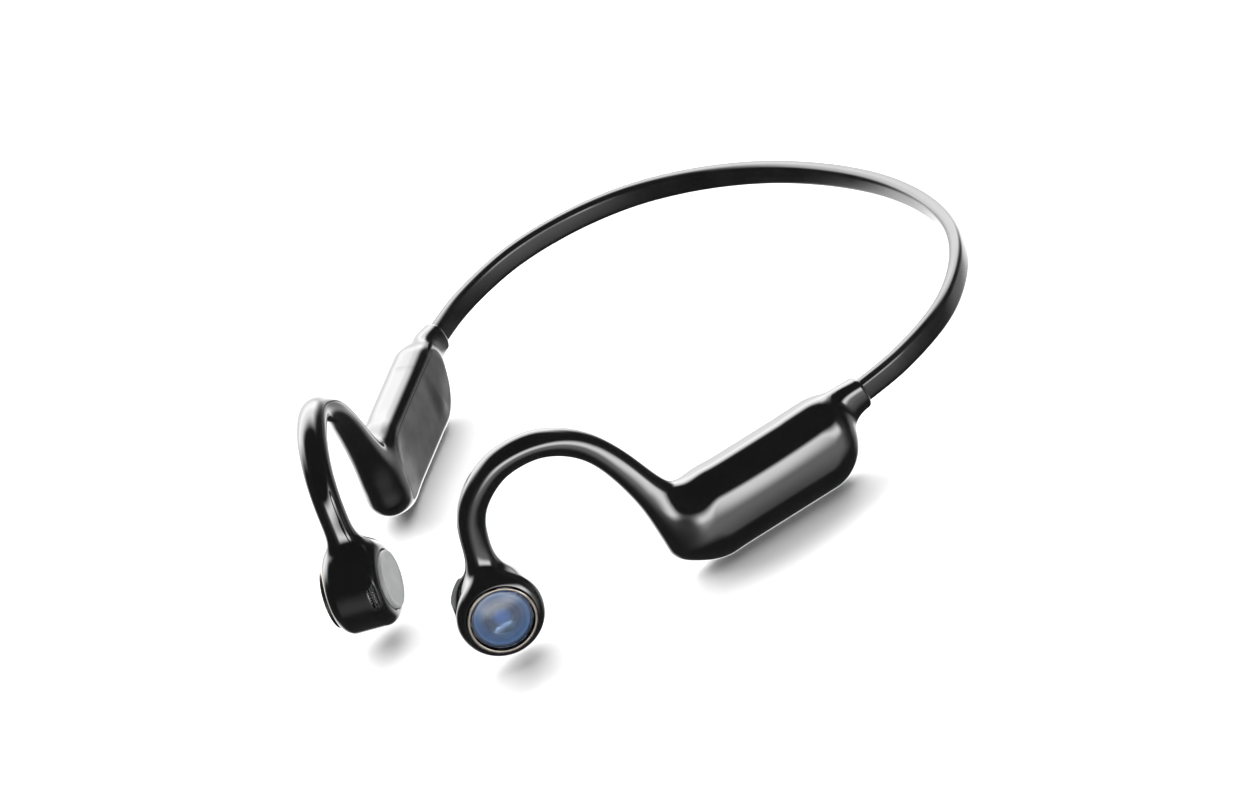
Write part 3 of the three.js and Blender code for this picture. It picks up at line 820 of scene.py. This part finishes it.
def plain_material(name, color, roughness, metallic=0.0):
    """A principled material with its constant values on the shader's own sockets."""
    made = bpy.data.materials.new(name)
    made.use_nodes = True
    shader = made.node_tree.nodes["Principled BSDF"]
    shader.inputs["Base Color"].default_value = (*color, 1)
    shader.inputs["Roughness"].default_value = roughness
    shader.inputs["Metallic"].default_value = metallic
    return made, made.node_tree, shader


def add(tree, kind, **values):
    node = tree.nodes.new("ShaderNode" + kind)
    for key, value in values.items():
        if key in node.inputs:
            node.inputs[key].default_value = value
        else:
            setattr(node, key, value)
    return node


def place_of(tree, scale):
    """The rest position on the surface, scaled."""
    coordinate = add(tree, "TexCoord")
    mapping = add(tree, "Mapping")
    mapping.inputs["Scale"].default_value = (scale,) * 3 if np.isscalar(scale) else scale
    tree.links.new(coordinate.outputs["Object"], mapping.inputs["Vector"])
    return mapping.outputs["Vector"]


def noise(tree, scale, detail=3, roughness=0.5):
    node = add(tree, "TexNoise", Scale=1.0, Detail=detail, Roughness=roughness)
    tree.links.new(place_of(tree, scale), node.inputs["Vector"])
    return node.outputs["Fac"]


def ranged(tree, value, low, high, start=0.35, end=0.65):
    node = add(tree, "MapRange")
    for socket, number in zip(("From Min", "From Max", "To Min", "To Max"), (start, end, low, high)):
        node.inputs[socket].default_value = number
    tree.links.new(value, node.inputs["Value"])
    return node.outputs["Result"]


def bumped(tree, shader, value, distance, strength=1.0, socket="Normal"):
    node = add(tree, "Bump", Strength=strength, Distance=distance)
    tree.links.new(value, node.inputs["Height"])
    tree.links.new(node.outputs["Normal"], shader.inputs[socket])


def tinted(tree, shader, value, *stops):
    ramp = add(tree, "ValToRGB")
    ramp.color_ramp.elements[0].position = stops[0][0]
    ramp.color_ramp.elements[0].color = (*stops[0][1], 1)
    ramp.color_ramp.elements[1].position = stops[-1][0]
    ramp.color_ramp.elements[1].color = (*stops[-1][1], 1)
    for place, color in stops[1:-1]:
        ramp.color_ramp.elements.new(place).color = (*color, 1)
    tree.links.new(value, ramp.inputs["Fac"])
    tree.links.new(ramp.outputs["Color"], shader.inputs["Base Color"])


def piano_black():
    made, tree, shader = plain_material("piano_black", (0.003, 0.003, 0.0032), 0.07)
    shader.inputs["Coat Weight"].default_value = 0.4
    shader.inputs["Coat Roughness"].default_value = 0.02
    tree.links.new(ranged(tree, noise(tree, 90), 0.05, 0.11), shader.inputs["Roughness"])
    bumped(tree, shader, noise(tree, 500, 2), 0.000002, 0.2)
    tinted(tree, shader, noise(tree, 160), (0.3, (0.0025, 0.0025, 0.0027)), (0.7, (0.004, 0.004, 0.0043)))
    return made


def satin_black():
    made, tree, shader = plain_material("satin_black", (0.025, 0.025, 0.026), 0.42)
    tree.links.new(ranged(tree, noise(tree, 250), 0.37, 0.47), shader.inputs["Roughness"])
    bumped(tree, shader, noise(tree, 7000, 2), 0.00001, 0.5)
    shader.inputs["Specular IOR Level"].default_value = 0.35
    tinted(tree, shader, noise(tree, 120), (0.3, (0.014, 0.014, 0.0145)), (0.7, (0.021, 0.021, 0.0217)))
    return made


def band_black():
    made, tree, shader = plain_material("band_black", (0.01, 0.01, 0.011), 0.16)
    tree.links.new(ranged(tree, noise(tree, 140), 0.12, 0.2), shader.inputs["Roughness"])
    bumped(tree, shader, noise(tree, 1200, 2), 0.000002, 0.3)
    tinted(tree, shader, noise(tree, 200), (0.3, (0.004, 0.004, 0.0045)), (0.7, (0.008, 0.008, 0.0085)))
    return made


def soft_rubber():
    made, tree, shader = plain_material("soft_rubber", (0.03, 0.03, 0.03), 0.55)
    tree.links.new(ranged(tree, noise(tree, 400), 0.5, 0.62), shader.inputs["Roughness"])
    bumped(tree, shader, noise(tree, 6000, 2), 0.000008, 0.6)
    tinted(tree, shader, noise(tree, 300), (0.3, (0.024, 0.024, 0.024)), (0.7, (0.036, 0.036, 0.036)))
    return made


def textured_plastic():
    made, tree, shader = plain_material("textured_plastic", (0.03, 0.03, 0.03), 0.38)
    tree.links.new(ranged(tree, noise(tree, 500), 0.32, 0.44), shader.inputs["Roughness"])
    bumped(tree, shader, noise(tree, 9000, 2), 0.000008, 0.6)
    tinted(tree, shader, noise(tree, 300), (0.3, (0.022, 0.022, 0.023)), (0.7, (0.034, 0.034, 0.035)))
    return made


def pale_pad():
    made, tree, shader = plain_material("pale_pad", (0.27, 0.275, 0.275), 0.5)
    shader.inputs["Subsurface Weight"].default_value = 0.1
    shader.inputs["Subsurface Scale"].default_value = 0.001
    tree.links.new(ranged(tree, noise(tree, 350), 0.44, 0.56), shader.inputs["Roughness"])
    bumped(tree, shader, noise(tree, 5000, 2), 0.00001, 0.6)
    tinted(tree, shader, noise(tree, 220), (0.3, (0.25, 0.255, 0.255)), (0.7, (0.29, 0.295, 0.293)))
    return made


def turned_metal(name, light, dark, low, high):
    """Metal with fine marks from turning or drawing."""
    made, tree, shader = plain_material(name, light, (low + high) / 2, 1.0)
    shader.inputs["Anisotropic"].default_value = 0.3
    tree.links.new(ranged(tree, noise(tree, (900, 900, 5200), 4), low, high), shader.inputs["Roughness"])
    bumped(tree, shader, noise(tree, (1500, 1500, 9000), 2), 0.000003, 0.4)
    tinted(tree, shader, noise(tree, 420), (0.3, dark), (0.7, light))
    return made


def clear_glass():
    made, tree, shader = plain_material("clear_glass", (0.6, 0.73, 0.92), 0.02)
    shader.inputs["Transmission Weight"].default_value = 1.0
    shader.inputs["IOR"].default_value = 1.35
    shader.inputs["Specular IOR Level"].default_value = 0.02
    tree.links.new(ranged(tree, noise(tree, 600), 0.005, 0.03), shader.inputs["Roughness"])
    tinted(tree, shader, noise(tree, 300), (0.3, (0.57, 0.7, 0.9)), (0.7, (0.63, 0.76, 0.94)))
    return made


def blue_dish():
    """Deep blue back, lighter towards its rim, by the radius kept in the mesh. The bright blue spot at its
    centre is a painted reflection.
    """
    made, tree, shader = plain_material("blue_dish", (0.02, 0.04, 0.08), 0.1)
    radius = add(tree, "Attribute", attribute_name="radius")
    # the first two stops paint a bright blue spot at the centre, which is a painted reflection; the dark ring
    # and the lighter outer zone are the back's own colour
    tinted(tree, shader, radius.outputs["Fac"], (0.0, (0.03, 0.1, 0.26)), (0.2, (0.02, 0.06, 0.16)),
           (0.36, (0.005, 0.012, 0.022)), (0.54, (0.012, 0.022, 0.038)), (0.64, (0.04, 0.07, 0.115)),
           (0.8, (0.07, 0.12, 0.19)), (0.86, (0.1, 0.16, 0.25)), (0.9, (0.004, 0.005, 0.007)))
    shader.inputs["Specular IOR Level"].default_value = 0.8
    tree.links.new(ranged(tree, radius.outputs["Fac"], 0.06, 0.5, 0.4, 0.62), shader.inputs["Roughness"])
    bumped(tree, shader, noise(tree, 3000, 2), 0.000003, 0.5)
    return made


def cell_foil():
    made, tree, shader = plain_material("cell_foil", (0.6, 0.62, 0.64), 0.35, 0.8)
    tree.links.new(ranged(tree, noise(tree, 300), 0.28, 0.45), shader.inputs["Roughness"])
    bumped(tree, shader, noise(tree, 600, 4), 0.00005, 0.6)
    tinted(tree, shader, noise(tree, 200), (0.3, (0.5, 0.52, 0.54)), (0.7, (0.62, 0.64, 0.66)))
    return made


def solder_mask():
    made, tree, shader = plain_material("solder_mask", (0.02, 0.14, 0.07), 0.3)
    tracks = add(tree, "TexBrick", Scale=1.0)
    tracks.inputs["Color1"].default_value = (0.015, 0.11, 0.05, 1)
    tracks.inputs["Color2"].default_value = (0.02, 0.14, 0.07, 1)
    tracks.inputs["Mortar"].default_value = (0.05, 0.22, 0.1, 1)
    tree.links.new(place_of(tree, 260), tracks.inputs["Vector"])
    tree.links.new(tracks.outputs["Color"], shader.inputs["Base Color"])
    tree.links.new(ranged(tree, noise(tree, 500), 0.25, 0.4), shader.inputs["Roughness"])
    bumped(tree, shader, tracks.outputs["Fac"], 0.00003, 0.5)
    return made


def light_pipe():
    made, tree, shader = plain_material("light_pipe", (0.85, 0.88, 0.9), 0.2)
    shader.inputs["Transmission Weight"].default_value = 0.3
    tree.links.new(ranged(tree, noise(tree, 900), 0.15, 0.3), shader.inputs["Roughness"])
    tinted(tree, shader, noise(tree, 500), (0.3, (0.8, 0.84, 0.87)), (0.7, (0.9, 0.92, 0.94)))
    return made


MATERIALS = {
    "gloss_shell": piano_black(),
    "satin_cover": satin_black(),
    "band_skin": band_black(),
    "silicone": soft_rubber(),
    "black_plastic": textured_plastic(),
    "skin_pad": pale_pad(),
    "trim_metal": turned_metal("trim_metal", (0.22, 0.2, 0.175), (0.15, 0.135, 0.12), 0.12, 0.24),
    "steel": turned_metal("steel", (0.6, 0.6, 0.59), (0.45, 0.45, 0.45), 0.25, 0.4),
    "spring_wire": turned_metal("spring_wire", (0.5, 0.51, 0.52), (0.38, 0.39, 0.4), 0.25, 0.4),
    "copper": turned_metal("copper", (0.72, 0.38, 0.2), (0.5, 0.24, 0.12), 0.25, 0.42),
    "blue_gem": clear_glass(),
    "cell_foil": cell_foil(),
    "board": solder_mask(),
    "light_pipe": light_pipe(),
}
BLUE_DISH = blue_dish()
DARK_STEEL = turned_metal("dark_steel", (0.08, 0.08, 0.082), (0.04, 0.04, 0.041), 0.3, 0.45)


def finish_piece(obj, node, body, slot, material=None):
    """Rides the piece on its body, hides the CAD node that it stands for, and gives it its material."""
    obj.data.materials.clear()
    obj.data.materials.append(material or MATERIALS[slot])
    if body is not None:
        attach(obj, body)
    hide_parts(node)


def keep_radius(obj, flip=1):
    """Stores each vertex's distance from the speaker's axis, as a share of the lens's radius."""
    co = np.zeros(len(obj.data.vertices) * 3, np.float32)
    obj.data.vertices.foreach_get("co", co)
    points = co.reshape(-1, 3).astype(float) * 1000 - BAND_CENTRE
    points[:, 0] *= flip
    local = points - np.array(SPEAKER["centre"])
    along = local @ SPEAKER_AXES[1]
    radius = size_of(local - along[:, None] * SPEAKER_AXES[1]) / LENS["radius"]
    attribute = obj.data.attributes.new("radius", "FLOAT", "POINT")
    attribute.data.foreach_set("value", radius.astype(np.float32))


# ---- pieces --------------------------------------------------------------------------------------

def add_shells():
    pod, cover, hook, speaker = side_shells()
    right_pod = mirror_copy(pod, "right_pod_shell_skin")
    tools = underside_cuts()
    for tool in tools:
        mirrored_tool = mirror_copy(tool, tool.name + "_right")
        boolean(right_pod, mirrored_tool, "DIFFERENCE")
        discard(tool, mirrored_tool)
    shells = {"pod_shell": pod, "pod_cover": cover, "ear_hook": hook, "speaker_shell": speaker}
    for node, left in shells.items():
        right = right_pod if node == "pod_shell" else mirror_copy(left, f"right_{node}_skin")
        slot = "satin_cover" if node == "pod_cover" else "gloss_shell"
        for side, obj, flip in (("left", left, 1), ("right", right, -1)):
            skin_normals(obj, side_distance, flip)
            finish_piece(obj, f"{side}_{node}", f"{side}_arm", slot)


def add_speaker_parts():
    makers = {
        "trim_ring": (trim_ring, "arm", "trim_metal"),
        "gem_lens": (gem_lens, "button", "blue_gem"),
        "button_base": (button_cap, "button", "black_plastic"),
        "contact_pad": (contact_pad, "arm", "skin_pad"),
        "vent_mesh": (vent_grille, "arm", "steel"),
    }
    own_looks = {"button_base": BLUE_DISH, "vent_mesh": DARK_STEEL}
    for node, (make, body, slot) in makers.items():
        left = facing_out(make(f"left_{node}_fine"))
        right = mirror_copy(left, f"right_{node}_fine")
        for side, obj, flip in (("left", left, 1), ("right", right, -1)):
            shade_by_angle(obj, 40)
            if node == "button_base":
                keep_radius(obj, flip)
            finish_piece(obj, f"{side}_{node}", f"{side}_{body}", slot, own_looks.get(node))


def add_underside_parts():
    pieces = [("port_flap", "port_flap", "silicone", FLAP["at"], FLAP)]
    for name, at in KEY_AT.items():
        pieces.append((f"{name}_key", name, "black_plastic", at, KEY))
    for node, body, slot, at, plug in pieces:
        left = skin_plug(node + "_left", at, plug["long"], plug["thick"], plug["deep"], plug["corner"])
        obj = mirror_copy(left, node + "_fine")
        discard(left)
        shade_by_angle(obj, 50)
        finish_piece(obj, node, body, slot)


def add_band():
    split, end = BAND["split"], BAND["end"]
    middle = band_skin("neckband_skin", -split, split, 200)
    finish_piece(middle, "neckband_sheath", "neckband", "band_skin")
    left = band_skin("left_band_skin", split, end, 120)
    right = mirror_copy(left, "right_band_skin")
    start = at_share(band_line, 0.5 + FLEX["start"] / 2)
    stop = at_share(band_line, 0.5 + FLEX["end"] / 2)
    for side, obj, flip in (("left", left, 1), ("right", right, -1)):
        turn = np.array([flip, 1, 1])
        finish_piece(obj, f"{side}_band_sheath", None, "band_skin")
        tuple(placed(start * turn))
        tuple(placed(stop * turn))
        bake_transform(obj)


def dress_cad_nodes():
    """Every CAD node that stays visible gets its slot's material."""
    slots = {row["node"]: row["material_slot"] for row in frame["record"]["subparts"]}
    for name, obj in frame["nodes"].items():
        obj.data.materials.clear()
        obj.data.materials.append(MATERIALS[slots[name]])


# ---- stage, light and camera ---------------------------------------------------------------------

VIEW_AZIMUTH = math.radians(48.0)
VIEW_RISE = math.radians(6.84)
VIEW_TIP = math.radians(34.86)
VIEW_DISTANCE = 2.4002
VIEW_TARGET = placed([-3.0, 64.4, -4.27])
LENS_MM = 345.6


def view_axes():
    """The camera's right, up and back directions: a level view that is then tipped about the X axis."""
    a, e, t = VIEW_AZIMUTH, VIEW_RISE, VIEW_TIP
    right = np.array([math.cos(a), math.sin(a), 0])
    back = np.array([math.sin(a) * math.cos(e), -math.cos(a) * math.cos(e), math.sin(e)])
    tip = np.array([[1, 0, 0], [0, math.cos(t), math.sin(t)], [0, -math.sin(t), math.cos(t)]])
    return [tip @ v for v in (right, np.cross(back, right), back)]


RIGHT, ABOVE, BACK = view_axes()


def add_camera():
    data = bpy.data.cameras.new("camera")
    data.lens = LENS_MM
    data.sensor_width = 36
    data.clip_start, data.clip_end = 0.1, 20
    camera = bpy.data.objects.new("camera", data)
    rows = [[RIGHT[k], ABOVE[k], BACK[k], VIEW_TARGET[k] + VIEW_DISTANCE * BACK[k]] for k in range(3)]
    camera.matrix_world = Matrix([*rows, [0, 0, 0, 1]])
    bpy.context.scene.collection.objects.link(camera)
    bpy.context.scene.camera = camera


def add_fill(name, azimuth, elevation, distance, wide, power):
    """A square light over the scene that lights the floor but isn't mirrored in the shells."""
    a, e = math.radians(azimuth), math.radians(elevation)
    toward = Vector((math.cos(a) * math.cos(e), math.sin(a) * math.cos(e), math.sin(e)))
    data = bpy.data.lights.new(name, "AREA")
    data.size = wide
    data.energy = power
    light = bpy.data.objects.new(name, data)
    light.location = Vector(tuple(VIEW_TARGET)) + toward * distance
    light.rotation_euler = toward.to_track_quat("Z", "Y").to_euler()
    light.visible_glossy = False
    bpy.context.scene.collection.objects.link(light)


FLOOR_Z = -BAND_CENTRE[2] - 0.45  # just under the lowest point


def add_floor():
    far = 3000
    corners = [[-far, -far, FLOOR_Z], [far, -far, FLOOR_Z], [far, far, FLOOR_Z], [-far, far, FLOOR_Z]]
    floor = new_object("floor", corners, [[0, 1, 2, 3]], False)
    made, tree, shader = plain_material("floor", (0.9, 0.9, 0.9), 0.8)
    tinted(tree, shader, noise(tree, 3), (0.3, (0.89, 0.89, 0.89)), (0.7, (0.91, 0.91, 0.91)))
    floor.data.materials.append(made)
    floor.visible_glossy = False


def direction(azimuth, elevation):
    a, e = math.radians(azimuth), math.radians(elevation)
    return np.array([math.cos(a) * math.cos(e), math.sin(a) * math.cos(e), math.sin(e)])


# Soft boxes around the object: azimuth from +X towards +Y, elevation, half width, half height and softness
# in degrees, and brightness
BOXES = [
    (152, 40, 46, 19, 13, 8.0),  # high behind the object, which draws the white rims
    (152, 2, 44, 18, 10, 2.6),  # lower behind it
    (152, -32, 42, 20, 10, 2.0),  # behind and below, for the thinnest rims
    (-20, 2, 40, 8, 9, 10.0),  # low in front, for the long streaks on the pod and hook
    (-20, -16, 50, 6, 26, 1.9),  # its fall-off towards the floor
    (84, -26, 14, 16, 12, 0.8),  # low on the right, for the band's sides
]
DIM = 0.08  # brightness away from the boxes


def add_surroundings():
    """The surroundings that the shells mirror: soft boxes in the dark."""
    world = bpy.data.worlds.new("surroundings")
    world.use_nodes = True
    tree = world.node_tree
    coordinate = add(tree, "TexCoord")

    def angle_from(axis):
        dot = add(tree, "VectorMath", operation="DOT_PRODUCT")
        dot.inputs[1].default_value = tuple(axis)
        tree.links.new(coordinate.outputs["Generated"], dot.inputs[0])
        return dot.outputs["Value"]

    def combine(operation, a, b):
        node = add(tree, "Math", operation=operation)
        for socket, value in zip(node.inputs, (a, b)):
            if isinstance(value, (int, float)):
                socket.default_value = value
            else:
                tree.links.new(value, socket)
        return node.outputs["Value"]

    def within(value, half, soft):
        node = add(tree, "MapRange", interpolation_type="SMOOTHSTEP")
        edges = (math.sin(math.radians(half + soft)), math.sin(math.radians(max(half - soft, 0))), 0, 1)
        for socket, number in zip(("From Min", "From Max", "To Min", "To Max"), edges):
            node.inputs[socket].default_value = number
        tree.links.new(value, node.inputs["Value"])
        return node.outputs["Result"]

    total = DIM
    for azimuth, elevation, wide, tall, soft, bright in BOXES:
        middle = direction(azimuth, elevation)
        across = direction(azimuth + 90, 0)
        upward = np.cross(middle, across)
        x = combine("ABSOLUTE", angle_from(across), 0)
        y = combine("ABSOLUTE", angle_from(upward), 0)
        shape = combine("MULTIPLY", within(x, wide, soft), within(y, tall, soft))
        ahead = combine("GREATER_THAN", angle_from(middle), 0)
        total = combine("ADD", total, combine("MULTIPLY", combine("MULTIPLY", shape, ahead), bright))
    tree.nodes["Background"].inputs["Color"].default_value = (1, 1, 1, 1)
    tree.links.new(total, tree.nodes["Background"].inputs["Strength"])
    bpy.context.scene.world = world


add_shells()
add_speaker_parts()
add_underside_parts()
add_band()
dress_cad_nodes()
add_camera()
add_floor()
add_surroundings()
add_fill("overhead", 60, 80, 1.5, 1.6, 14)

bpy.context.scene.view_settings.view_transform = "Standard"
